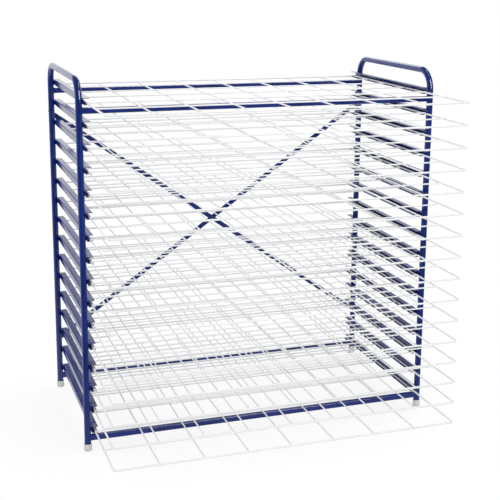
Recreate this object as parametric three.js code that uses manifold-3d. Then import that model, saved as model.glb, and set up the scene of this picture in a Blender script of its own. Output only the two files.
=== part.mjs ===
// Art drying rack: two bent-tube end frames carry pairs of channel runners, four rails and a
// cross brace hold the end frames apart, and a welded wire shelf slides in each pair of runners.
// Millimetres, +Z up, the front faces -Y. The origin is on the floor under the middle of the rack.

import * as THREE from 'three';
import { mergeVertices } from 'three/addons/utils/BufferGeometryUtils.js';
import Module from 'manifold-3d';

const wasm = await Module();
wasm.setup();

// End frames: round tube bent to an inverted U
const FRAME_WIDTH = 1000;      // between the uprights' centres, along X
const FRAME_DEPTH = 478;       // between the uprights' centres, along Y
const TOP_TUBE_HEIGHT = 1010;  // centre of the handle above the floor
const TUBE_DIAMETER = 18;
const TUBE_WALL = 1.5;
const BEND_RADIUS = 55;        // at the tube's centre

// Feet: moulded ferrules pushed over the uprights
const FOOT_HEIGHT = 20;
const FOOT_WALL = 1.7;
const FOOT_SOLE = 4;           // plastic under the end of the tube
const FOOT_CHAMFER = 1.2;

// Rails: square tubes along X, shaped to the uprights at their ends
const RAIL_SIZE = 15;
const RAIL_WALL = 1.5;
const RAIL_CORNER = 0.8;       // inner radius of the tube's corners
const FOOT_TO_RAIL = 9.5;      // free upright between a foot and a bottom rail
const RAIL_TO_RUNNER = 7.5;    // free upright between a rail and the runner above it

// Runners: channels on the inner side of the uprights, open towards the middle
const RUNNER_COUNT = 16;
const RUNNER_HEIGHT = 18;
const RUNNER_FLANGE = 18;
const RUNNER_SHEET = 1.5;
const RUNNER_FOLD = 1;         // inner radius of the folded corners
const HAND_GAP = 35.5;         // between the top runner and the handle above it

// Shelves: square bars stand for round wires of about the same section
const SHELF_DEPTH = 732;       // front wire to rear wire, at their centres
const SHELF_COLUMNS = 8;
const SHELF_ROWS = 6;
const EDGE_WIRE = 4.5;
const GRID_WIRE = 3;
const SHELF_CORNER = 5.5;      // inner radius of the edge wire at the corners

// Brace: two flat straps behind the rear uprights, crossing in the middle
const STRAP_WIDTH = 14;
const STRAP_THICKNESS = 2;
const STRAP_END = 8;           // strap past the upright's centre
const BRACE_RISE = 118;        // lower end above the bottom rail's centre
const BRACE_DROP = 68;         // upper end below the top rail's centre

// Clearances
const JOINT_GAP = 0.3;         // between pieces that touch
const SIDE_PLAY = 7;           // between a shelf and a runner's web, on each side
const BACK_PLAY = 8;           // between a shelf and the brace behind it

// Facets
const TUBE_SIDES = 16;
const BEND_STEPS = 5;
const CORNER_STEPS = 2;        // in a quarter turn
const STRAP_STEPS = 12;

// Heights, from the floor up
const tubeRadius = TUBE_DIAMETER / 2;
const tubeBottom = FOOT_SOLE + JOINT_GAP;
const bottomRailHeight = FOOT_HEIGHT + FOOT_TO_RAIL + RAIL_SIZE / 2;
const lowestRunner = bottomRailHeight + RAIL_SIZE / 2 + RAIL_TO_RUNNER;
const highestRunner = TOP_TUBE_HEIGHT - tubeRadius - HAND_GAP - RUNNER_HEIGHT;
const runnerPitch = (highestRunner - lowestRunner) / (RUNNER_COUNT - 1);
const topRailHeight = highestRunner - RAIL_TO_RUNNER - RAIL_SIZE / 2;

// Places across and along the rack
const uprightX = FRAME_WIDTH / 2;
const uprightY = FRAME_DEPTH / 2;
const runnerWebX = uprightX - tubeRadius - JOINT_GAP;
const shelfEdgeX = runnerWebX - RUNNER_SHEET - SIDE_PLAY;
const braceY = uprightY + tubeRadius + JOINT_GAP;
const shelfRearY = braceY - BACK_PLAY;
const shelfFrontY = shelfRearY - EDGE_WIRE - SHELF_DEPTH;
const rackRearY = braceY + 2 * STRAP_THICKNESS + JOINT_GAP;

// Materials

function blueEnamel() {
  return new THREE.MeshStandardMaterial({ color: 0x1c3a8c, roughness: 0.35, metalness: 0 });
}

function whiteCoating() {
  return new THREE.MeshStandardMaterial({ color: 0xeeeeec, roughness: 0.45, metalness: 0 });
}

function whitePlastic() {
  return new THREE.MeshStandardMaterial({ color: 0xd8d8d6, roughness: 0.6, metalness: 0 });
}

// Joining and cutting

function solidFrom(geometry) {
  const bare = geometry.clone();
  bare.deleteAttribute('normal');
  bare.deleteAttribute('uv');
  const merged = mergeVertices(bare);
  const vertProperties = new Float32Array(merged.attributes.position.array);
  const triVerts = new Uint32Array(merged.index.array);
  return new wasm.Manifold(new wasm.Mesh({ numProp: 3, vertProperties, triVerts }));
}

function geometryFrom(solid) {
  const { vertProperties, triVerts } = solid.getMesh();
  const geometry = new THREE.BufferGeometry();
  geometry.setAttribute('position', new THREE.BufferAttribute(vertProperties, 3));
  geometry.setIndex(new THREE.BufferAttribute(triVerts, 1));
  geometry.computeVertexNormals();
  return geometry;
}

// Sections

function circle(radius, PathType = THREE.Path) {
  return new PathType().absarc(0, 0, radius, 0, 2 * Math.PI);
}

function tubeSection(diameter, wall) {
  const section = circle(diameter / 2, THREE.Shape);
  section.holes.push(circle(diameter / 2 - wall));
  return section;
}

function roundedRectangle(halfWidth, front, rear, bend) {
  const outline = new THREE.Shape();
  outline.absarc(halfWidth - bend, rear - bend, bend, 0, Math.PI / 2);
  outline.absarc(bend - halfWidth, rear - bend, bend, Math.PI / 2, Math.PI);
  outline.absarc(bend - halfWidth, front + bend, bend, Math.PI, 1.5 * Math.PI);
  outline.absarc(halfWidth - bend, front + bend, bend, 1.5 * Math.PI, 2 * Math.PI);
  return outline;
}

function squareTubeSection(size, wall, corner) {
  const half = size / 2;
  const bore = half - wall;
  const section = roundedRectangle(half, -half, half, corner + wall);
  section.holes.push(roundedRectangle(bore, -bore, bore, corner));
  return section;
}

// End frames

// An arch in the YZ plane. A straight run is one step, and each bend is BEND_STEPS steps.
class ArchPath extends THREE.Curve {
  getPoint(t) {
    const steps = 2 * BEND_STEPS + 3;
    const station = t * steps;
    const bendY = uprightY - BEND_RADIUS;
    const bendZ = TOP_TUBE_HEIGHT - BEND_RADIUS;
    if (station <= 1) {
      return new THREE.Vector3(0, -uprightY, THREE.MathUtils.lerp(tubeBottom, bendZ, station));
    }
    if (station <= 1 + BEND_STEPS) {
      const angle = Math.PI - ((station - 1) / BEND_STEPS) * (Math.PI / 2);
      return this.onBend(-bendY, bendZ, angle);
    }
    if (station <= 2 + BEND_STEPS) {
      const along = station - 1 - BEND_STEPS;
      return new THREE.Vector3(0, THREE.MathUtils.lerp(-bendY, bendY, along), TOP_TUBE_HEIGHT);
    }
    if (station <= 2 + 2 * BEND_STEPS) {
      const angle = Math.PI / 2 - ((station - 2 - BEND_STEPS) / BEND_STEPS) * (Math.PI / 2);
      return this.onBend(bendY, bendZ, angle);
    }
    const down = station - 2 - 2 * BEND_STEPS;
    return new THREE.Vector3(0, uprightY, THREE.MathUtils.lerp(bendZ, tubeBottom, down));
  }

  onBend(y, z, angle) {
    return new THREE.Vector3(0, y + BEND_RADIUS * Math.cos(angle), z + BEND_RADIUS * Math.sin(angle));
  }

  getUtoTmapping(u) {
    return u;
  }
}

function arch(section) {
  return new THREE.ExtrudeGeometry(section, {
    steps: 2 * BEND_STEPS + 3,
    curveSegments: TUBE_SIDES / 2,
    extrudePath: new ArchPath(),
    bevelEnabled: false,
  });
}

function endTube(name, side) {
  const mesh = new THREE.Mesh(arch(tubeSection(TUBE_DIAMETER, TUBE_WALL)), blueEnamel());
  mesh.name = name;
  mesh.position.x = side * uprightX;
  return mesh;
}

// Feet

function foot(name, x, y) {
  const inner = tubeRadius + JOINT_GAP;
  const outer = inner + FOOT_WALL;
  const profile = [
    new THREE.Vector2(0, 0),
    new THREE.Vector2(outer - FOOT_CHAMFER, 0),
    new THREE.Vector2(outer, FOOT_CHAMFER),
    new THREE.Vector2(outer, FOOT_HEIGHT),
    new THREE.Vector2(inner, FOOT_HEIGHT),
    new THREE.Vector2(inner, FOOT_SOLE),
    new THREE.Vector2(0, FOOT_SOLE),
  ];
  const geometry = new THREE.LatheGeometry(profile, TUBE_SIDES).rotateX(Math.PI / 2);
  const mesh = new THREE.Mesh(geometry, whitePlastic());
  mesh.name = name;
  mesh.position.set(x, y, 0);
  return mesh;
}

// Rails

// A straight square tube between the uprights' centres, less a seat for the end tube on each side.
function rail(name, y, z) {
  const section = squareTubeSection(RAIL_SIZE, RAIL_WALL, RAIL_CORNER);
  const tube = new THREE.ExtrudeGeometry(section, {
    depth: FRAME_WIDTH,
    curveSegments: CORNER_STEPS / 2,
    bevelEnabled: false,
  });
  let coped = solidFrom(tube.rotateY(Math.PI / 2).translate(-uprightX, 0, 0));
  for (const side of [-1, 1]) {
    const seat = arch(circle(tubeRadius + JOINT_GAP, THREE.Shape));
    coped = coped.subtract(solidFrom(seat.translate(side * uprightX, -y, -z)));
  }
  const mesh = new THREE.Mesh(geometryFrom(coped), blueEnamel());
  mesh.name = name;
  mesh.position.set(0, y, z);
  return mesh;
}

// Runners

// A C on its side: x runs from the web at 0 to the flange tips, y from the lower flange up.
function channelSection() {
  const outer = RUNNER_FOLD + RUNNER_SHEET;
  const upper = RUNNER_HEIGHT - outer;
  const section = new THREE.Shape();
  section.moveTo(RUNNER_FLANGE, 0);
  section.lineTo(RUNNER_FLANGE, RUNNER_SHEET);
  section.absarc(outer, outer, RUNNER_FOLD, 1.5 * Math.PI, Math.PI, true);
  section.absarc(outer, upper, RUNNER_FOLD, Math.PI, 0.5 * Math.PI, true);
  section.lineTo(RUNNER_FLANGE, RUNNER_HEIGHT - RUNNER_SHEET);
  section.lineTo(RUNNER_FLANGE, RUNNER_HEIGHT);
  section.absarc(outer, upper, outer, 0.5 * Math.PI, Math.PI);
  section.absarc(outer, outer, outer, Math.PI, 1.5 * Math.PI);
  return section;
}

function runner(name, side, level) {
  const length = FRAME_DEPTH + TUBE_DIAMETER;
  const geometry = new THREE.ExtrudeGeometry(channelSection(), {
    depth: length,
    curveSegments: CORNER_STEPS / 2,
    bevelEnabled: false,
  });
  geometry.rotateX(Math.PI / 2).translate(-runnerWebX, length / 2, 0);
  const mesh = new THREE.Mesh(geometry, blueEnamel());
  mesh.name = name;
  mesh.position.z = lowestRunner + level * runnerPitch;
  if (side > 0) {
    mesh.rotation.z = Math.PI;
  }
  return mesh;
}

// Shelves

function slab(outline, low, high) {
  const geometry = new THREE.ExtrudeGeometry(outline, {
    depth: high - low,
    curveSegments: CORNER_STEPS / 2,
    bevelEnabled: false,
  });
  return solidFrom(geometry.translate(0, 0, low));
}

// The space inside the edge wire, less the grid wires that cross it at equal steps.
function shelfCells() {
  const low = -EDGE_WIRE;
  const high = 2 * EDGE_WIRE;
  const innerX = shelfEdgeX - EDGE_WIRE;
  const innerFrontY = shelfFrontY + EDGE_WIRE;
  const innerRearY = shelfRearY - EDGE_WIRE;
  let cells = slab(roundedRectangle(innerX, innerFrontY, innerRearY, SHELF_CORNER), low, high);
  const width = 2 * shelfEdgeX - EDGE_WIRE;
  const middleY = (shelfFrontY + shelfRearY) / 2;
  const wireHeight = 2 * (high - low);
  for (let column = 1; column < SHELF_COLUMNS; column += 1) {
    const wire = new THREE.BoxGeometry(GRID_WIRE, SHELF_DEPTH, wireHeight);
    const x = (column / SHELF_COLUMNS - 0.5) * width;
    cells = cells.subtract(solidFrom(wire.translate(x, middleY, 0)));
  }
  for (let row = 1; row < SHELF_ROWS; row += 1) {
    const wire = new THREE.BoxGeometry(width, GRID_WIRE, wireHeight);
    const y = middleY + (row / SHELF_ROWS - 0.5) * SHELF_DEPTH;
    cells = cells.subtract(solidFrom(wire.translate(0, y, 0)));
  }
  return cells;
}

function shelf(name, level) {
  const corner = SHELF_CORNER + EDGE_WIRE;
  const outline = roundedRectangle(shelfEdgeX, shelfFrontY, shelfRearY, corner);
  const welded = slab(outline, 0, EDGE_WIRE).subtract(shelfCells());
  const mesh = new THREE.Mesh(geometryFrom(welded), whiteCoating());
  mesh.name = name;
  mesh.position.z = lowestRunner + level * runnerPitch + RUNNER_SHEET + JOINT_GAP;
  return mesh;
}

// Brace

// A strap from the lower end at one upright to the upper end at the other. The second strap bows
// backwards by `bow` in the middle, to lie over the first one where they cross.
function strap(name, direction, bow) {
  const low = new THREE.Vector3(-direction * uprightX, 0, bottomRailHeight + BRACE_RISE);
  const high = new THREE.Vector3(direction * uprightX, 0, topRailHeight - BRACE_DROP);
  const length = low.distanceTo(high) + 2 * STRAP_END;
  const path = new THREE.QuadraticBezierCurve3(
    new THREE.Vector3(-length / 2, 0, 0),
    new THREE.Vector3(0, 2 * bow, 0),
    new THREE.Vector3(length / 2, 0, 0),
  );
  const section = new THREE.Shape();
  const halfWidth = STRAP_WIDTH / 2;
  const halfThickness = STRAP_THICKNESS / 2;
  section.moveTo(-halfWidth, -halfThickness).lineTo(halfWidth, -halfThickness);
  section.lineTo(halfWidth, halfThickness).lineTo(-halfWidth, halfThickness);
  const geometry = new THREE.ExtrudeGeometry(section, {
    steps: STRAP_STEPS,
    extrudePath: path,
    bevelEnabled: false,
  });
  const mesh = new THREE.Mesh(geometry, blueEnamel());
  mesh.name = name;
  mesh.position.copy(low).lerp(high, 0.5);
  mesh.position.y = braceY + halfThickness;
  mesh.rotation.y = -Math.atan2(high.z - low.z, high.x - low.x);
  return mesh;
}

// Assembly

const rack = new THREE.Group();
rack.position.y = -(shelfFrontY + rackRearY) / 2;

const sides = [['left', -1], ['right', 1]];
const ends = [['front', -1], ['rear', 1]];
const railHeights = [['bottom', bottomRailHeight], ['top', topRailHeight]];

for (const [sideName, side] of sides) {
  rack.add(endTube(`${sideName}_end_tube`, side));
  for (const [endName, end] of ends) {
    rack.add(foot(`${endName}_${sideName}_foot`, side * uprightX, end * uprightY));
  }
}

for (const [endName, end] of ends) {
  for (const [heightName, height] of railHeights) {
    rack.add(rail(`${endName}_${heightName}_rail`, end * uprightY, height));
  }
}

for (let level = 0; level < RUNNER_COUNT; level += 1) {
  const number = String(level + 1).padStart(2, '0');
  for (const [sideName, side] of sides) {
    rack.add(runner(`${sideName}_runner_${number}`, side, level));
  }
  rack.add(shelf(`wire_shelf_${number}`, level));
}

rack.add(strap('rising_brace_strap', 1, 0));
rack.add(strap('falling_brace_strap', -1, STRAP_THICKNESS + JOINT_GAP));

export default rack;
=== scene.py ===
import math

import bmesh
import bpy
from mathutils import Matrix, Vector


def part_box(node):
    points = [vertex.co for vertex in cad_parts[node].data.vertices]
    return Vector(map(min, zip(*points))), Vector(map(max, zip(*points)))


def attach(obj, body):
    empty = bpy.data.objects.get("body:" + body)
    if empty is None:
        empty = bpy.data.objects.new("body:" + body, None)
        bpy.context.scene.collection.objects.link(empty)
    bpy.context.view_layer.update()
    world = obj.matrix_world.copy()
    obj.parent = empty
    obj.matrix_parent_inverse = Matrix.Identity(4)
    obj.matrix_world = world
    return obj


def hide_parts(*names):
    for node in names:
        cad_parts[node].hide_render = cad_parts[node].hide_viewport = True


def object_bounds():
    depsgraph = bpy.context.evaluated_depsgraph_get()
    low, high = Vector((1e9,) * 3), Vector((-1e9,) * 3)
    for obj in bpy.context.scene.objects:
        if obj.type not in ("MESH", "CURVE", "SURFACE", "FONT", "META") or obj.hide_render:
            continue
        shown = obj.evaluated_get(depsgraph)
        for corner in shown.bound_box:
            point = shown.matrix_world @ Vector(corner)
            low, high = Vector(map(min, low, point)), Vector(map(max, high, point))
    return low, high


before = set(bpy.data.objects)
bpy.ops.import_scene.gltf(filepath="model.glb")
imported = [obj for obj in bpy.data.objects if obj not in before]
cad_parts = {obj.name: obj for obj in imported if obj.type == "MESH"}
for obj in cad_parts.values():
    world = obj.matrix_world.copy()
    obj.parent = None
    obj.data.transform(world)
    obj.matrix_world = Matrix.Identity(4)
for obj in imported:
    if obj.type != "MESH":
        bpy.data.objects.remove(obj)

cad_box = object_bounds()


# End tubes
# Each end of the rack is one round mild steel tube, bent cold twice to an inverted U, so that its
# crosspiece is the handle. The tube is powder coated a glossy blue after all its runners are welded on.

MM = 0.001
TUBE_BEND = 55 * MM         # radius of the bend at the tube's centre
TUBE_SIDES = 40
BEND_STEPS = 14


def linear(hex_colour):
    """An sRGB hex colour as linear red, green, blue and alpha."""
    channels = [int(hex_colour[i:i + 2], 16) / 255 for i in (1, 3, 5)]
    return [c / 12.92 if c <= 0.04045 else ((c + 0.055) / 1.055) ** 2.4 for c in channels] + [1]


def add_node(tree, kind, inputs=None, stops=(), **settings):
    """Adds a node with its settings, its inputs and, for a colour ramp, its stops.

    An input is a value, a socket, or a node whose first output feeds it.
    """
    node = tree.nodes.new(kind)
    for name, value in settings.items():
        setattr(node, name, value)
    for name, value in (inputs or {}).items():
        if isinstance(value, bpy.types.Node):
            value = value.outputs[0]
        if isinstance(value, bpy.types.NodeSocket):
            tree.links.new(value, node.inputs[name])
        else:
            node.inputs[name].default_value = value
    for i, (share, colour) in enumerate(stops):
        node.color_ramp.elements[i].position = share
        node.color_ramp.elements[i].color = linear(colour)
    return node


def new_material(name):
    """An empty material, its node tree, and the socket that gives a place on the piece."""
    material = bpy.data.materials.new(name)
    material.use_nodes = True
    tree = material.node_tree
    tree.nodes.clear()
    return material, tree, add_node(tree, "ShaderNodeTexCoord").outputs["Object"]


def blue_powder_coat():
    """Polyester powder, sprayed on and baked: it flows to a hard gloss with a faint orange peel."""
    deep_blue = "#11276c"
    lit_blue = "#162f80"
    cloud_width = 90 * MM     # slow drift of the coat's thickness
    peel_width = 3 * MM       # really about 1 mm, drawn wider so that it shows
    peel_depth = 0.02 * MM
    material, tree, place = new_material("blue_powder_coat")
    cloud = add_node(tree, "ShaderNodeTexNoise", {
        "Vector": place, "Scale": 1 / cloud_width, "Detail": 3,
    })
    tone = add_node(tree, "ShaderNodeValToRGB", {"Fac": cloud}, stops=((0.3, deep_blue), (0.7, lit_blue)))
    gloss = add_node(tree, "ShaderNodeMapRange", {"Value": cloud, "To Min": 0.12, "To Max": 0.19})
    peel = add_node(tree, "ShaderNodeTexNoise", {"Vector": place, "Scale": 1 / peel_width, "Detail": 1})
    bump = add_node(tree, "ShaderNodeBump", {"Height": peel, "Distance": peel_depth, "Strength": 1})
    shader = add_node(tree, "ShaderNodeBsdfPrincipled", {
        "Base Color": tone, "Roughness": gloss, "Normal": bump, "IOR": 1.5,
    })
    add_node(tree, "ShaderNodeOutputMaterial", {"Surface": shader})
    return material


def geometry_tree(name, inputs):
    """An empty Geometry Nodes tree with these named inputs, and the sockets that carry them."""
    tree = bpy.data.node_groups.new(name, "GeometryNodeTree")
    for label, kind in inputs.items():
        tree.interface.new_socket(label, in_out="INPUT", socket_type="NodeSocket" + kind)
    tree.interface.new_socket("Geometry", in_out="OUTPUT", socket_type="NodeSocketGeometry")
    return tree, add_node(tree, "NodeGroupInput").outputs


def end_tree(tree, geometry, finish):
    """Ends a tree: smooth faces, real meshes in place of instances, and one material."""
    smooth = add_node(tree, "GeometryNodeSetShadeSmooth", {"Geometry": geometry})
    real = add_node(tree, "GeometryNodeRealizeInstances", {"Geometry": smooth})
    dressed = add_node(tree, "GeometryNodeSetMaterial", {"Geometry": real, "Material": finish})
    add_node(tree, "NodeGroupOutput", {"Geometry": dressed})


def bent_stock():
    """Round tube or wire along a route of straight runs, with a bend at each corner."""
    tree, given = geometry_tree("bent_stock", {
        "Route": "Geometry", "Diameter": "Float", "Bend": "Float", "Sides": "Int", "Finish": "Material",
    })
    route = add_node(tree, "GeometryNodeMeshToCurve", {"Mesh": given["Route"]})
    bent = add_node(tree, "GeometryNodeFilletCurve", {
        "Curve": route, "Radius": given["Bend"], "Count": BEND_STEPS,
    }, mode="POLY")
    radius = add_node(tree, "ShaderNodeMath", {0: given["Diameter"], 1: 2}, operation="DIVIDE")
    section = add_node(tree, "GeometryNodeCurvePrimitiveCircle", {
        "Resolution": given["Sides"], "Radius": radius,
    })
    skin = add_node(tree, "GeometryNodeCurveToMesh", {
        "Curve": bent, "Profile Curve": section, "Fill Caps": True,
    })
    end_tree(tree, skin, given["Finish"])
    return tree


def bake(piece):
    """Turns a piece and its modifiers into one plain mesh."""
    seen = piece.evaluated_get(bpy.context.evaluated_depsgraph_get())
    mesh = bpy.data.meshes.new_from_object(seen)
    mesh.name = piece.name
    piece.modifiers.clear()
    piece.data = mesh
    return piece


def new_piece(name, mesh):
    """A mesh as an object of the scene, at the origin."""
    piece = bpy.data.objects.new(name, mesh)
    bpy.context.scene.collection.objects.link(piece)
    return piece


def grown(tree, name, base, inputs):
    """The mesh that a Geometry Nodes tree makes from a base mesh, as a piece of its own."""
    piece = new_piece(name, base)
    modifier = piece.modifiers.new(tree.name, "NODES")
    modifier.node_group = tree
    for socket in tree.interface.items_tree:
        if socket.in_out == "INPUT" and socket.name in inputs:
            modifier[socket.identifier] = inputs[socket.name]
    return bake(piece)


def line_mesh(points, edges=()):
    """A mesh of points and edges, for a tree to start from."""
    mesh = bpy.data.meshes.new("points")
    mesh.from_pydata(points, edges, [])
    return mesh


def fit(piece, body, slot, *nodes):
    """Puts a finished piece on its body, in place of the plain solids that it stands for."""
    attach(piece, body)
    if nodes:
        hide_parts(*nodes)


enamel = blue_powder_coat()
tube_shaper = bent_stock()
# Both ends are alike, so the next sections use the radius and the places that this loop ends with.
for side in ("left", "right"):
    low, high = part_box(f"{side}_end_tube")
    tube_radius = (high.x - low.x) / 2
    upright_x = (low.x + high.x) / 2
    upright_y = {"front": low.y + tube_radius, "rear": high.y - tube_radius}
    handle_z = high.z - tube_radius
    route = line_mesh([
        (upright_x, upright_y["front"], low.z), (upright_x, upright_y["front"], handle_z),
        (upright_x, upright_y["rear"], handle_z), (upright_x, upright_y["rear"], low.z),
    ], [(0, 1), (1, 2), (2, 3)])
    end_tube = grown(tube_shaper, f"{side}_bent_tube", route, {
        "Diameter": 2 * tube_radius, "Bend": TUBE_BEND, "Sides": TUBE_SIDES, "Finish": enamel,
    })
    fit(end_tube, "frame", "blue_enamel", f"{side}_end_tube")


# Runners
# Every shelf slides in a pair of runners: mild steel strip, roll formed to a C that opens towards the
# middle of the rack, cut to length and welded by its web to the inner side of the two uprights.

CHANNEL_SHEET = 1.5 * MM
CHANNEL_FOLD = 2.5 * MM     # inner radius of the folds
FOLD_STEPS = 6
CUT_EDGE = 0.35 * MM        # softened by the coat
CUT_ANGLE = math.radians(60)    # an edge sharper than this is a cut edge
LEVELS = sum(name.startswith("left_runner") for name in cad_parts)


def channel_section(height, flange):
    """Pairs of outer and inner points, from the lower flange's tip round the web to the upper one's."""
    outer = CHANNEL_SHEET + CHANNEL_FOLD
    pairs = [((flange, 0), (flange, CHANNEL_SHEET))]
    for fold_z, start in ((outer, 270), (height - outer, 180)):
        for step in range(FOLD_STEPS + 1):
            turn = math.radians(start - 90 * step / FOLD_STEPS)
            across, up = math.cos(turn), math.sin(turn)
            pairs.append(tuple((outer + r * across, fold_z + r * up) for r in (outer, CHANNEL_FOLD)))
    pairs.append(((flange, height), (flange, height - CHANNEL_SHEET)))
    return pairs


def closed_mesh(bm, name, finish):
    """A mesh with its faces pointing outwards, from a closed shell, with one material."""
    bmesh.ops.recalc_face_normals(bm, faces=bm.faces)
    mesh = bpy.data.meshes.new(name)
    bm.to_mesh(mesh)
    bm.free()
    mesh.materials.append(finish)
    mesh.shade_smooth()
    return mesh


def soften(piece, width):
    """Rounds the cut edges of a piece and keeps its flat faces flat."""
    edge = piece.modifiers.new("cut_edges", "BEVEL")
    edge.width = width
    edge.segments = 2
    edge.limit_method = "ANGLE"
    edge.angle_limit = CUT_ANGLE
    piece.modifiers.new("flat_faces", "WEIGHTED_NORMAL").weight = 100
    return bake(piece)


def channel(name, low, high, opens):
    """A folded channel that fills a box. It opens towards +X, or towards -X where opens is -1."""
    web_x = low.x if opens > 0 else high.x
    section = channel_section(high.z - low.z, high.x - low.x)
    bm = bmesh.new()
    front, rear = [], []
    for end, y in ((front, low.y), (rear, high.y)):
        for pair in section:
            end.append([bm.verts.new((web_x + opens * across, y, low.z + up)) for across, up in pair])
    for i in range(len(section) - 1):
        for skin in (0, 1):
            bm.faces.new((front[i][skin], front[i + 1][skin], rear[i + 1][skin], rear[i][skin]))
        for end in (front, rear):
            bm.faces.new((end[i][0], end[i][1], end[i + 1][1], end[i + 1][0]))
    for tip in (0, -1):
        bm.faces.new((front[tip][0], front[tip][1], rear[tip][1], rear[tip][0]))
    return soften(new_piece(name, closed_mesh(bm, name, enamel)), CUT_EDGE)


for side, opens in (("left", 1), ("right", -1)):
    for level in range(1, LEVELS + 1):
        node = f"{side}_runner_{level:02d}"
        runner = channel(f"{side}_channel_{level:02d}", *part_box(node), opens)
        fit(runner, "frame", "blue_enamel", node)


# Runner welds
# Where a runner crosses an upright, a short bead of weld runs down each side of the tube and joins it
# to the runner's web. The beads are as blue as the rest, because they are coated with it.

WELD_RADIUS = 1.3 * MM
WELD_LENGTH = 13 * MM
WELD_SPREAD = 4.3 * MM      # from the tube's middle to the bead
WELD_SIDES = 6
WELD_VARIATION = 0.2        # how much smaller the smallest bead is
PART_SEED = 3


def parts_at_points():
    """A copy of a small part at each point, its Z axis turned to the point's own facing."""
    tree, given = geometry_tree("parts_at_points", {
        "Points": "Geometry", "Part": "Object", "Turn Spread": "Float", "Size Spread": "Float",
        "Seed": "Int", "Finish": "Material",
    })
    part = add_node(tree, "GeometryNodeObjectInfo", {
        "Object": given["Part"],
    }, transform_space="ORIGINAL")
    facing = add_node(tree, "GeometryNodeInputNamedAttribute", {
        "Name": "facing",
    }, data_type="FLOAT_VECTOR")
    aimed = add_node(tree, "FunctionNodeAlignRotationToVector", {"Vector": facing}, axis="Z")
    turn = add_node(tree, "FunctionNodeRandomValue", {
        2: 0.0, 3: given["Turn Spread"], "Seed": given["Seed"],
    }, data_type="FLOAT")
    spin = add_node(tree, "ShaderNodeCombineXYZ", {"Z": turn.outputs[1]})
    spun = add_node(tree, "FunctionNodeRotateRotation", {
        "Rotation": aimed, "Rotate By": spin,
    }, rotation_space="LOCAL")
    smallest = add_node(tree, "ShaderNodeMath", {0: 1.0, 1: given["Size Spread"]}, operation="SUBTRACT")
    size = add_node(tree, "FunctionNodeRandomValue", {
        2: smallest, 3: 1.0, "Seed": given["Seed"],
    }, data_type="FLOAT")
    copies = add_node(tree, "GeometryNodeInstanceOnPoints", {
        "Points": given["Points"], "Instance": part.outputs["Geometry"],
        "Rotation": spun, "Scale": size.outputs[1],
    })
    end_tree(tree, copies, given["Finish"])
    return tree


def facing_points(places):
    """A mesh of points from pairs of a place and the direction that it faces."""
    mesh = line_mesh([place for place, _ in places])
    facing = mesh.attributes.new("facing", "FLOAT_VECTOR", "POINT")
    facing.data.foreach_set("vector", [x for _, direction in places for x in direction])
    return mesh


def turned(bm, profile, sides):
    """Rings of points round Z, one for each radius and height of a profile, joined by faces."""
    turns = [2 * math.pi * i / sides for i in range(sides)]
    rings = [[bm.verts.new((r * math.cos(t), r * math.sin(t), z)) for t in turns] for r, z in profile]
    for lower, upper in zip(rings, rings[1:]):
        for i in range(sides):
            bm.faces.new((lower[i - 1], lower[i], upper[i], upper[i - 1]))
    return rings


def cap(bm, ring, height):
    """Closes a ring with faces to its middle."""
    hub = bm.verts.new((0, 0, height))
    for i in range(len(ring)):
        bm.faces.new((ring[i - 1], ring[i], hub))


def weld_bead():
    """A lump of weld along Z, drawn in at both ends."""
    half = WELD_LENGTH / 2
    turns = [math.pi * i / WELD_SIDES for i in range(1, WELD_SIDES)]
    bm = bmesh.new()
    rings = turned(bm, [(WELD_RADIUS * math.sin(t), -half * math.cos(t)) for t in turns], WELD_SIDES)
    cap(bm, rings[0], -half)
    cap(bm, rings[-1], half)
    return new_piece("weld_bead", closed_mesh(bm, "weld_bead", enamel))


def set_parts(name, part, places, finish, turn_spread=0.0, size_spread=0.0):
    """All the copies of a part as one piece, in place of the part itself."""
    piece = grown(part_setter, name, facing_points(places), {
        "Part": part, "Turn Spread": turn_spread, "Size Spread": size_spread,
        "Seed": PART_SEED, "Finish": finish,
    })
    bpy.data.objects.remove(part)
    return piece


part_setter = parts_at_points()
weld_places = []
for side, inward in (("left", 1), ("right", -1)):
    tube_low, tube_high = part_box(f"{side}_end_tube")
    weld_x = (tube_low.x + tube_high.x) / 2 + inward * tube_radius
    for level in range(1, LEVELS + 1):
        low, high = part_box(f"{side}_runner_{level:02d}")
        for y in upright_y.values():
            for edge in (-1, 1):
                place = (weld_x, y + edge * WELD_SPREAD, (low.z + high.z) / 2)
                weld_places.append((place, (0, 0, 1)))
welds = set_parts("runner_welds", weld_bead(), weld_places, enamel, math.pi, WELD_VARIATION)
fit(welds, "frame", "blue_enamel")


# Rails
# Four square mild steel tubes tie the two ends together, front and rear, top and bottom. Their ends are
# milled to the curve of the uprights, and the coat is the same blue.

RAILS = ("front_bottom", "front_top", "rear_bottom", "rear_top")
RAIL_CORNER = 2.3 * MM      # outer radius of the tube's corners
CORNER_STEPS = 5
FACE_STEPS = 6              # along a flat, so that a milled end follows the upright
SEAT_DEPTH = 0.3 * MM       # how far a piece beds into the upright's coat
SHARP_ANGLE = math.radians(50)


def rail_section(size):
    """Points round a square tube with round corners, each a place across it and a height."""
    flat = size / 2 - RAIL_CORNER
    turns = [math.pi / 2 * i / CORNER_STEPS for i in range(CORNER_STEPS + 1)]
    side = [Vector((flat + RAIL_CORNER * math.cos(t), flat + RAIL_CORNER * math.sin(t))) for t in turns]
    side += [Vector((flat - 2 * flat * i / FACE_STEPS, size / 2)) for i in range(1, FACE_STEPS)]
    return [Matrix.Rotation(math.pi / 2 * quarter, 2) @ point for quarter in range(4) for point in side]


def rail_end(low, high, way, depth):
    """Points round one end of a rail, this deep under the surface of its upright."""
    middle = (low + high) / 2
    ring = []
    for across, up in rail_section(high.z - low.z):
        hollow = math.sqrt(tube_radius ** 2 - across ** 2)
        ring.append((way * (abs(upright_x) - hollow + depth), middle.y + across, middle.z + up))
    return ring


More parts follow.
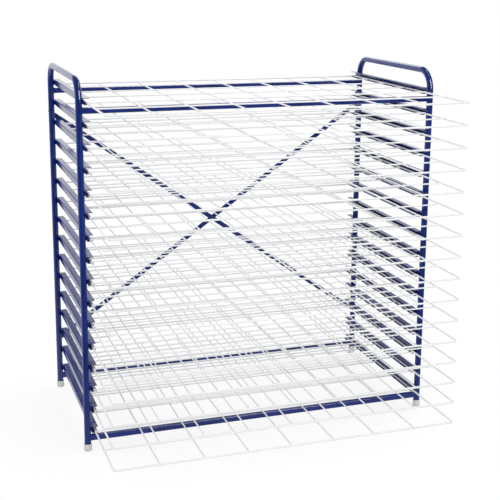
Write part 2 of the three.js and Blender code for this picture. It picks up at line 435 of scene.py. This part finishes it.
def coped_rail(name, low, high):
    """A tube along X whose two ends are hollowed to sit on the uprights."""
    bm = bmesh.new()
    rings = []
    for way in (-1, 1):
        ring = [bm.verts.new(point) for point in rail_end(low, high, way, SEAT_DEPTH)]
        hub = bm.verts.new((way * (abs(upright_x) - tube_radius + SEAT_DEPTH), *((low + high) / 2).yz))
        for i in range(len(ring)):
            bm.faces.new((ring[i - 1], ring[i], hub))
        rings.append(ring)
    left, right = rings
    for i in range(len(left)):
        bm.faces.new((left[i - 1], left[i], right[i], right[i - 1]))
    mesh = closed_mesh(bm, name, enamel)
    mesh.set_sharp_from_angle(angle=SHARP_ANGLE)
    return new_piece(name, mesh)


for place in RAILS:
    rail = coped_rail(f"{place}_tube_rail", *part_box(f"{place}_rail"))
    fit(rail, "frame", "blue_enamel", f"{place}_rail")


# Rail welds
# A bead of weld runs all round each end of a rail, where it sits on its upright. It is coated with the
# rest, so that only its soft swelling shows.

RAIL_WELD = 3 * MM
BEAD_SIDES = 8

ring_points = []
ring_edges = []
for place in RAILS:
    for way in (-1, 1):
        ring = rail_end(*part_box(f"{place}_rail"), way, 0)
        first = len(ring_points)
        ring_points += ring
        ring_edges += [(first + i, first + (i + 1) % len(ring)) for i in range(len(ring))]
rail_welds = grown(tube_shaper, "rail_welds", line_mesh(ring_points, ring_edges), {
    "Diameter": RAIL_WELD, "Bend": 0.0, "Sides": BEAD_SIDES, "Finish": enamel,
})
fit(rail_welds, "frame", "blue_enamel")


# Brace straps
# Two flat mild steel straps cross behind the rack and keep it square. They are cut from strip with round
# ends, coated blue, and the one that lies over the other bows a little where they cross.

STRAP_WIDTH = 14 * MM
STRAP_STATIONS = 24
STRAP_END_STEPS = 7
STRAP_TIP = 8               # degrees of each side of the round end that its blunt tip takes
STRAP_EDGE = 0.4 * MM


def strap_stations(length):
    """Pairs of a place along a strap and the half width there, with a round end at each side."""
    half = STRAP_WIDTH / 2
    stations = []
    for i in range(STRAP_END_STEPS):
        turn = math.radians(STRAP_TIP + (90 - STRAP_TIP) * i / STRAP_END_STEPS)
        stations.append((-length / 2 + half - half * math.cos(turn), half * math.sin(turn)))
    straight = length - 2 * half
    stations += [(straight * (i / STRAP_STATIONS - 0.5), half) for i in range(STRAP_STATIONS + 1)]
    return stations + [(-place, width) for place, width in reversed(stations[:STRAP_END_STEPS])]


def strap(name, low, high, rise, bow):
    """A strap in the XZ plane, across a box from one lower corner to the other upper one."""
    thickness = high.y - low.y - bow
    slope = math.atan2(high.z - low.z - STRAP_WIDTH * math.cos(brace_slope),
                       high.x - low.x - STRAP_WIDTH * math.sin(brace_slope))
    length = (high.x - low.x - STRAP_WIDTH * math.sin(slope)) / math.cos(slope)
    along = Vector((math.cos(slope), 0, rise * math.sin(slope)))
    across = Vector((-along.z, 0, along.x))
    middle = Vector(((low.x + high.x) / 2, low.y, (low.z + high.z) / 2))
    depth = Vector((0, thickness, 0))
    bm = bmesh.new()
    rows = []
    for place, half in strap_stations(length):
        share = place / length + 0.5
        back = Vector((0, 4 * bow * share * (1 - share), 0))   # a parabola, full in the middle
        centre = middle + along * place + back
        corners = (centre - across * half, centre + across * half,
                   centre + across * half + depth, centre - across * half + depth)
        rows.append([bm.verts.new(corner) for corner in corners])
    for here, there in zip(rows, rows[1:]):
        for i in range(4):
            bm.faces.new((here[i - 1], here[i], there[i], there[i - 1]))
    for end in (rows[0], rows[-1]):
        bm.faces.new(end)
    return soften(new_piece(name, closed_mesh(bm, name, enamel)), STRAP_EDGE)


flat_low, flat_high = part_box("rising_brace_strap")
bowed_low, bowed_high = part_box("falling_brace_strap")
strap_bow = bowed_high.y - bowed_low.y - (flat_high.y - flat_low.y)
brace_slope = math.atan2(flat_high.z - flat_low.z, flat_high.x - flat_low.x)
rising = strap("rising_strap", flat_low, flat_high, 1, 0)
fit(rising, "frame", "blue_enamel", "rising_brace_strap")
falling = strap("falling_strap", bowed_low, bowed_high, -1, strap_bow)
fit(falling, "frame", "blue_enamel", "falling_brace_strap")


# Brace screws and rivet
# A zinc plated steel screw with a domed head and a hexagon socket holds each strap end to a rear
# upright, and one coated rivet joins the two straps where they cross.

STRAP_HOLE = 8 * MM         # from a strap's tip to its screw
SCREW_SIDES = 24
SOCKET_RADIUS = 1.75 * MM
SOCKET_DEPTH = 1.6 * MM
RIVET_SIDES = 24
RIVET_SEAT = 0.14 * MM      # coat between a strap and the rivet's head
# Outlines of the heads, as radius and height in millimetres.
SCREW_HEAD = [(4.7, -1.6), (4.7, 0.5), (4.45, 1.3), (3.8, 2.1), (2.9, 2.6), (2.2, 2.75)]
RIVET_HEAD = [(4.6, 0), (4.5, 0.5), (3.9, 1.2), (2.8, 1.75), (1.4, 2.05)]


def zinc_plate():
    """Bright zinc over steel: a pale bluish metal, a little cloudy from its passivation."""
    dull_zinc = "#a9adb3"
    bright_zinc = "#d3d5d6"
    grain = 1.2 * MM
    material, tree, place = new_material("zinc_plate")
    mottle = add_node(tree, "ShaderNodeTexNoise", {"Vector": place, "Scale": 1 / grain, "Detail": 2})
    tone = add_node(tree, "ShaderNodeValToRGB", {"Fac": mottle}, stops=((0, dull_zinc), (1, bright_zinc)))
    rough = add_node(tree, "ShaderNodeMapRange", {"Value": mottle, "To Min": 0.25, "To Max": 0.45})
    shader = add_node(tree, "ShaderNodeBsdfPrincipled", {
        "Base Color": tone, "Roughness": rough, "Metallic": 1,
    })
    add_node(tree, "ShaderNodeOutputMaterial", {"Surface": shader})
    return material


def socket_screw():
    """A domed head round Z with a hexagon socket. It starts below its seat, to sit on a round tube."""
    bm = bmesh.new()
    head = [(r * MM, z * MM) for r, z in SCREW_HEAD]
    crown = head[-1][1]
    rim = [(SOCKET_RADIUS, crown), (SOCKET_RADIUS, crown - SOCKET_DEPTH)]
    rings = turned(bm, head + rim, SCREW_SIDES)
    for ring in rings[-2:]:
        for i, vert in enumerate(ring):
            turn = 2 * math.pi * i / SCREW_SIDES
            # How far a hexagon reaches at this turn, beside its corners.
            reach = math.cos(math.pi / 6) / math.cos(turn % (math.pi / 3) - math.pi / 6)
            vert.co.x *= reach
            vert.co.y *= reach
    cap(bm, rings[0], head[0][1])
    cap(bm, rings[-1], crown - SOCKET_DEPTH)
    mesh = closed_mesh(bm, "socket_screw", zinc)
    mesh.set_sharp_from_angle(angle=SHARP_ANGLE)
    return new_piece("socket_screw", mesh)


def brace_rivet():
    """A domed head at each end of a short shank along Z, set from the middle of the straps."""
    half = (bowed_high.y - flat_low.y) / 2 + RIVET_SEAT
    heads = [(r * MM, half + z * MM) for r, z in RIVET_HEAD]
    profile = [(r, -z) for r, z in reversed(heads)] + heads
    bm = bmesh.new()
    rings = turned(bm, profile, RIVET_SIDES)
    cap(bm, rings[0], profile[0][1])
    cap(bm, rings[-1], profile[-1][1])
    return new_piece("rivet", closed_mesh(bm, "rivet", enamel))


zinc = zinc_plate()
reach_x = (flat_high.x - flat_low.x) / 2 - STRAP_HOLE * math.cos(brace_slope)
reach_z = (flat_high.z - flat_low.z) / 2 - STRAP_HOLE * math.sin(brace_slope)
middle_z = (flat_low.z + flat_high.z) / 2
screw_places = []
for way in (-1, 1):
    for rise in (-1, 1):
        place = (way * reach_x, flat_high.y, middle_z + rise * reach_z)
        screw_places.append((place, (0, 1, 0)))
brace_screws = set_parts("brace_screws", socket_screw(), screw_places, zinc, math.pi / 3)
fit(brace_screws, "frame", "zinc_fastener")
crossing = (0, (flat_low.y + bowed_high.y) / 2, middle_z)
rivet = set_parts("brace_rivet", brace_rivet(), [(crossing, (0, 1, 0))], enamel)
fit(rivet, "frame", "blue_enamel")


# Feet
# A moulded off-white polyethylene ferrule is pushed over the end of each upright, so that the tube
# doesn't mark the floor. It has a rolled lip, a slight draft and a rounded sole.

FERRULE_SIDES = 40
SOLE_ROUND = 2.2 * MM
SOLE_DISH = 0.4 * MM
LIP_ROUND = 0.8 * MM
FERRULE_DRAFT = 0.25 * MM
ROUND_STEPS = 5


def ferrule_plastic():
    """Low density polyethylene: off-white and dull, with a fine moulded grain and a scuffed sole."""
    scuffed = "#b9b8b3"
    off_white = "#dededb"
    grain = 0.8 * MM
    grain_depth = 0.03 * MM
    smear_width = 5 * MM
    scuff_height = 3.5 * MM
    material, tree, place = new_material("ferrule_polyethylene")
    height = add_node(tree, "ShaderNodeSeparateXYZ", {"Vector": place})
    smear = add_node(tree, "ShaderNodeTexNoise", {
        "Vector": place, "Scale": 1 / smear_width, "Detail": 3,
    })
    edge = add_node(tree, "ShaderNodeMath", {0: smear, 1: 2 * scuff_height}, operation="MULTIPLY")
    worn = add_node(tree, "ShaderNodeMapRange", {"Value": height.outputs["Z"], "From Max": edge})
    tone = add_node(tree, "ShaderNodeValToRGB", {"Fac": worn}, stops=((0, scuffed), (1, off_white)))
    speck = add_node(tree, "ShaderNodeTexNoise", {"Vector": place, "Scale": 1 / grain, "Detail": 1})
    bump = add_node(tree, "ShaderNodeBump", {"Height": speck, "Distance": grain_depth, "Strength": 1})
    shader = add_node(tree, "ShaderNodeBsdfPrincipled", {
        "Base Color": tone, "Roughness": 0.5, "Normal": bump, "IOR": 1.51,
    })
    add_node(tree, "ShaderNodeOutputMaterial", {"Surface": shader})
    return material


def ferrule(name, low, high):
    """A cup on the floor, open at the top where the upright goes in."""
    outer = (high.x - low.x) / 2
    top = high.z - low.z
    sole = outer - SOLE_ROUND
    lip = outer - FERRULE_DRAFT - LIP_ROUND
    ledge = top - LIP_ROUND
    arc = [math.radians(90 * i / ROUND_STEPS) for i in range(ROUND_STEPS + 1)]
    profile = [(outer - 2 * SOLE_ROUND, SOLE_DISH)]
    profile += [(sole + SOLE_ROUND * math.sin(t), SOLE_ROUND - SOLE_ROUND * math.cos(t)) for t in arc]
    profile += [(lip + LIP_ROUND * math.cos(t), ledge + LIP_ROUND * math.sin(t)) for t in arc]
    profile += [(tube_radius - SEAT_DEPTH, ledge), (tube_radius - SEAT_DEPTH, top / 2)]
    bm = bmesh.new()
    rings = turned(bm, profile, FERRULE_SIDES)
    cap(bm, rings[0], SOLE_DISH)
    cap(bm, rings[-1], top / 2)
    middle = Vector(((low.x + high.x) / 2, (low.y + high.y) / 2, low.z))
    bmesh.ops.translate(bm, vec=middle, verts=bm.verts)
    mesh = closed_mesh(bm, name, polyethylene)
    mesh.set_sharp_from_angle(angle=SHARP_ANGLE)
    return new_piece(name, mesh)


polyethylene = ferrule_plastic()
for end in ("front", "rear"):
    for side in ("left", "right"):
        node = f"{end}_{side}_foot"
        foot = ferrule(f"{end}_{side}_ferrule", *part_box(node))
        fit(foot, "frame", "white_plastic", node)


# Wire shelves
# Each shelf is a loop of steel wire with bent corners, crossed by two layers of thinner wires that are
# resistance welded to it and to each other, and coated white. It slides on its two side wires.

EDGE_WIRE = 5 * MM
GRID_WIRE = 4 * MM
GRID_COLUMNS = 8
GRID_ROWS = 6
LOOP_BEND = 8 * MM          # radius at the wire's centre
WELD_SINK = 0.6 * MM        # how far two crossed wires melt into each other
WIRE_SIDES = 14
NUGGET_RADIUS = 2.56 * MM
NUGGET_FLAT = 0.8           # a nugget's height beside its width
NUGGET_LEVEL = 0.3          # where it sits, from the middle of the shelf to the middle of its own layer
NUGGET_SIDES = 8


def white_wire_coat():
    """Epoxy powder over wire: a soft white with a low sheen, a slow drift of tone and a faint ripple."""
    soft_white = "#eeeff0"
    clean_white = "#f5f6f7"
    drift = 45 * MM
    ripple = 2.5 * MM
    ripple_depth = 0.03 * MM
    material, tree, place = new_material("white_wire_coat")
    cloud = add_node(tree, "ShaderNodeTexNoise", {"Vector": place, "Scale": 1 / drift, "Detail": 3})
    tone = add_node(tree, "ShaderNodeValToRGB", {"Fac": cloud}, stops=((0, soft_white), (1, clean_white)))
    gloss = add_node(tree, "ShaderNodeMapRange", {"Value": cloud, "To Min": 0.34, "To Max": 0.46})
    wave = add_node(tree, "ShaderNodeTexNoise", {"Vector": place, "Scale": 1 / ripple, "Detail": 1})
    bump = add_node(tree, "ShaderNodeBump", {"Height": wave, "Distance": ripple_depth, "Strength": 1})
    shader = add_node(tree, "ShaderNodeBsdfPrincipled", {
        "Base Color": tone, "Roughness": gloss, "Normal": bump, "IOR": 1.5,
    })
    add_node(tree, "ShaderNodeOutputMaterial", {"Surface": shader})
    return material


def welded_wires():
    """Two layers of crossed wires in a frame, at equal steps, with a nugget of weld at each crossing."""
    sizes = {"Frame": "Geometry", "Wire": "Float", "Nugget": "Float", "Finish": "Material"}
    for layer in ("Column", "Row"):
        sizes |= {f"First {layer}": "Vector", f"Last {layer}": "Vector", f"{layer} Reach": "Vector"}
        sizes |= {f"{layer} Count": "Int", f"{layer} Crossings": "Int"}
    tree, given = geometry_tree("welded_wires", sizes)
    radius = add_node(tree, "ShaderNodeMath", {0: given["Wire"], 1: 2}, operation="DIVIDE")
    section = add_node(tree, "GeometryNodeCurvePrimitiveCircle", {
        "Resolution": WIRE_SIDES, "Radius": radius,
    })
    nugget = add_node(tree, "GeometryNodeMeshUVSphere", {
        "Segments": NUGGET_SIDES, "Rings": NUGGET_SIDES // 2, "Radius": given["Nugget"],
    })
    joined = add_node(tree, "GeometryNodeJoinGeometry", {"Geometry": given["Frame"]})
    for layer in ("Column", "Row"):
        reach = given[f"{layer} Reach"]
        back = add_node(tree, "ShaderNodeVectorMath", {0: reach, "Scale": -1}, operation="SCALE")
        line = add_node(tree, "GeometryNodeCurvePrimitiveLine", {"Start": back, "End": reach})
        wire = add_node(tree, "GeometryNodeCurveToMesh", {
            "Curve": line, "Profile Curve": section, "Fill Caps": True,
        })
        places = add_node(tree, "GeometryNodeMeshLine", {
            "Count": given[f"{layer} Count"], "Start Location": given[f"First {layer}"],
            "Offset": given[f"Last {layer}"],
        }, mode="END_POINTS")
        wires = add_node(tree, "GeometryNodeInstanceOnPoints", {"Points": places, "Instance": wire})
        along = add_node(tree, "GeometryNodeMeshLine", {
            "Count": given[f"{layer} Crossings"], "Start Location": back, "Offset": reach,
        }, mode="END_POINTS")
        crossed = add_node(tree, "GeometryNodeInstanceOnPoints", {"Points": places, "Instance": along})
        points = add_node(tree, "GeometryNodeRealizeInstances", {"Geometry": crossed})
        level = add_node(tree, "GeometryNodeTransform", {
            "Geometry": points, "Scale": (1, 1, NUGGET_LEVEL),
        })
        nuggets = add_node(tree, "GeometryNodeInstanceOnPoints", {
            "Points": level, "Instance": nugget, "Scale": (1, 1, NUGGET_FLAT),
        })
        for part in (wires, nuggets):
            tree.links.new(part.outputs["Instances"], joined.inputs["Geometry"])
    end_tree(tree, joined, given["Finish"])
    return tree


coat = white_wire_coat()
low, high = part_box("wire_shelf_01")
cad_wire = high.z - low.z
half_width = (high.x - low.x - cad_wire) / 2
half_depth = (high.y - low.y - cad_wire) / 2
loop_route = line_mesh([
    (-half_width, -half_depth, 0), (half_width, -half_depth, 0),
    (half_width, half_depth, 0), (-half_width, half_depth, 0),
], [(0, 1), (1, 2), (2, 3), (3, 0)])
loop = grown(tube_shaper, "edge_loop", loop_route, {
    "Diameter": EDGE_WIRE, "Bend": LOOP_BEND, "Sides": WIRE_SIDES, "Finish": coat,
})
layer_z = (GRID_WIRE - WELD_SINK) / 2
end_column = half_width * (1 - 2 / GRID_COLUMNS)
end_row = half_depth * (1 - 2 / GRID_ROWS)
# The columns carry the nuggets of the whole grid, and the rows only those at the two side wires.
pattern = grown(welded_wires(), "shelf_pattern", loop.data, {
    "Wire": GRID_WIRE, "Nugget": NUGGET_RADIUS, "Finish": coat,
    "First Column": (-end_column, 0.0, -layer_z), "Last Column": (end_column, 0.0, -layer_z),
    "Column Reach": (0.0, half_depth, 0.0), "Column Count": GRID_COLUMNS - 1,
    "Column Crossings": GRID_ROWS + 1,
    "First Row": (0.0, -end_row, layer_z), "Last Row": (0.0, end_row, layer_z),
    "Row Reach": (half_width, 0.0, 0.0), "Row Count": GRID_ROWS - 1,
    "Row Crossings": 2,
})
for level in range(1, LEVELS + 1):
    node = f"wire_shelf_{level:02d}"
    low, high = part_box(node)
    mesh = pattern.data.copy()
    mesh.transform(Matrix.Translation((low + high) / 2))
    shelf = new_piece(f"shelf_wires_{level:02d}", mesh)
    fit(shelf, f"shelf_{level:02d}", "white_wire_coating", node)
for helper in (loop, pattern):
    bpy.data.objects.remove(helper)


# Studio
# The rack stands on white background paper, in plain light from all round and from a soft lamp above.
# Its gloss shows the room as white only low down behind it, and three more lamps as soft highlights.

WHITE = (1, 1, 1, 1)
PAPER_SIZE = 60
PAPER_WHITE = 0.92
PAPER_SHADE = 0.22          # how far light and shadow show on the paper, to the camera
PAPER_GLOW = 0.81           # the rest of its white there
PAPER_EDGE = (-0.9, 0.5)    # where the paper comes out of the dark, in reflections
SURROUND = 0.94             # the light from all round
ROOM_WHITE = 1.15           # what reflections show far behind the rack, low down
ROOM_DARK = 0.03            # the same on the camera's side
ROOM_HIGH = 0.2             # the share of it that is left overhead
ROOM_EDGE = (-0.35, 0.45)   # where dark gives way to white, by the direction's Y
ROOM_TOP = (0.16, 0.4)      # where the white fades overhead, by the direction's Z
KEY_BOX = {"place": (0.9, -0.2, 3.2), "width": 1.8, "depth": 1.8, "power": 10}
TOP_STRIP = {"place": (0.95, -0.2, 2.9), "width": 1.8, "depth": 0.2, "power": 16}
FRONT_BOX = {"place": (1.1, -2.7, 2.3), "width": 1.4, "depth": 2.4, "power": 190}
BACK_BOX = {"place": (0.6, 2.7, 2.2), "width": 1.8, "depth": 1.3, "power": 20}


def ray_kinds(tree):
    """Whether a ray comes from the camera, and whether it comes from gloss or through glass."""
    path = add_node(tree, "ShaderNodeLightPath").outputs
    reflected = add_node(tree, "ShaderNodeMath", {
        0: path["Is Glossy Ray"], 1: path["Is Transmission Ray"],
    }, operation="MAXIMUM")
    return path["Is Camera Ray"], reflected


def background_paper():
    """Matt white paper that bounces plain light. Camera and gloss see it mostly as its own white."""
    material, tree, place = new_material("background_paper")
    axes = add_node(tree, "ShaderNodeSeparateXYZ", {"Vector": place})
    from_camera, reflected = ray_kinds(tree)
    far = add_node(tree, "ShaderNodeMapRange", {
        "Value": axes.outputs["Y"], "From Min": PAPER_EDGE[0], "From Max": PAPER_EDGE[1],
        "To Min": ROOM_DARK,
    }, interpolation_type="SMOOTHSTEP")
    seen = add_node(tree, "ShaderNodeMath", {0: from_camera, 1: PAPER_GLOW}, operation="MULTIPLY")
    glow = add_node(tree, "ShaderNodeMix", {0: reflected, 2: seen, 3: far}, data_type="FLOAT")
    shade = add_node(tree, "ShaderNodeMapRange", {
        "Value": from_camera, "To Min": PAPER_WHITE, "To Max": PAPER_SHADE,
    })
    bounce = add_node(tree, "ShaderNodeMix", {0: reflected, 2: shade, 3: 0.0}, data_type="FLOAT")
    shader = add_node(tree, "ShaderNodeBsdfPrincipled", {
        "Base Color": bounce, "Roughness": 0.9, "Specular IOR Level": 0,
        "Emission Color": WHITE, "Emission Strength": glow,
    })
    add_node(tree, "ShaderNodeOutputMaterial", {"Surface": shader})
    return material


def soft_lamp(name, place, width, depth, power):
    """A rectangular soft lamp that is aimed at the middle of the rack."""
    light = bpy.data.lights.new(name, "AREA")
    light.shape = "RECTANGLE"
    light.size = width
    light.size_y = depth
    light.energy = power
    lamp = bpy.data.objects.new(name, light)
    bpy.context.scene.collection.objects.link(lamp)
    lamp.location = place
    middle = (cad_box[0] + cad_box[1]) / 2
    lamp.rotation_euler = (middle - lamp.location).to_track_quat("-Z", "Y").to_euler()
    return lamp


edge = PAPER_SIZE / 2
paper = bpy.data.meshes.new("floor")
paper.from_pydata([
    (-edge, -edge, 0), (edge, -edge, 0), (edge, edge, 0), (-edge, edge, 0),
], [], [(0, 1, 2, 3)])
paper.materials.append(background_paper())
new_piece("floor", paper)

world = bpy.data.worlds.new("studio")
world.use_nodes = True
bpy.context.scene.world = world
tree = world.node_tree
tree.nodes.clear()
direction = add_node(tree, "ShaderNodeTexCoord").outputs["Generated"]
axes = add_node(tree, "ShaderNodeSeparateXYZ", {"Vector": direction})
from_camera, reflected = ray_kinds(tree)
room = add_node(tree, "ShaderNodeMapRange", {
    "Value": axes.outputs["Y"], "From Min": ROOM_EDGE[0], "From Max": ROOM_EDGE[1],
    "To Min": ROOM_DARK, "To Max": ROOM_WHITE,
}, interpolation_type="SMOOTHSTEP")
height = add_node(tree, "ShaderNodeMapRange", {
    "Value": axes.outputs["Z"], "From Min": ROOM_TOP[0], "From Max": ROOM_TOP[1],
    "To Min": 1.0, "To Max": ROOM_HIGH,
}, interpolation_type="SMOOTHSTEP")
air = add_node(tree, "ShaderNodeMath", {0: room, 1: height}, operation="MULTIPLY")
lit = add_node(tree, "ShaderNodeMix", {0: reflected, 2: SURROUND, 3: air}, data_type="FLOAT")
strength = add_node(tree, "ShaderNodeMix", {0: from_camera, 2: lit, 3: 1.0}, data_type="FLOAT")
surround = add_node(tree, "ShaderNodeBackground", {"Color": WHITE, "Strength": strength})
add_node(tree, "ShaderNodeOutputWorld", {"Surface": surround})

soft_lamp("key_box", **KEY_BOX).visible_glossy = False
soft_lamp("top_strip", **TOP_STRIP).visible_diffuse = False
soft_lamp("front_box", **FRONT_BOX).visible_diffuse = False
soft_lamp("back_box", **BACK_BOX).visible_diffuse = False


# Camera
# It stands to the left of the rack's front, a little above its top, and looks right and slightly down.
# The small downward shift keeps the uprights close to parallel.

CAMERA_PLACE = (-0.9525, -2.7894, 1.2875)
CAMERA_TURN = 18.90         # degrees from +Y towards +X
CAMERA_DIP = 12.58          # degrees below level
CAMERA_ROLL = 0.46          # degrees
CAMERA_SENSOR = 36          # mm
CAMERA_LENS = 76.08         # mm
CAMERA_SHIFT = -0.09

view = bpy.data.cameras.new("camera")
view.sensor_width = CAMERA_SENSOR
view.lens = CAMERA_LENS
view.shift_y = CAMERA_SHIFT
camera = bpy.data.objects.new("camera", view)
bpy.context.scene.collection.objects.link(camera)
camera.matrix_world = (Matrix.Translation(CAMERA_PLACE)
                       @ Matrix.Rotation(math.radians(-CAMERA_TURN), 4, "Z")
                       @ Matrix.Rotation(math.radians(90 - CAMERA_DIP), 4, "X")
                       @ Matrix.Rotation(math.radians(CAMERA_ROLL), 4, "Z"))
bpy.context.scene.camera = camera
bpy.context.scene.view_settings.view_transform = "Standard"
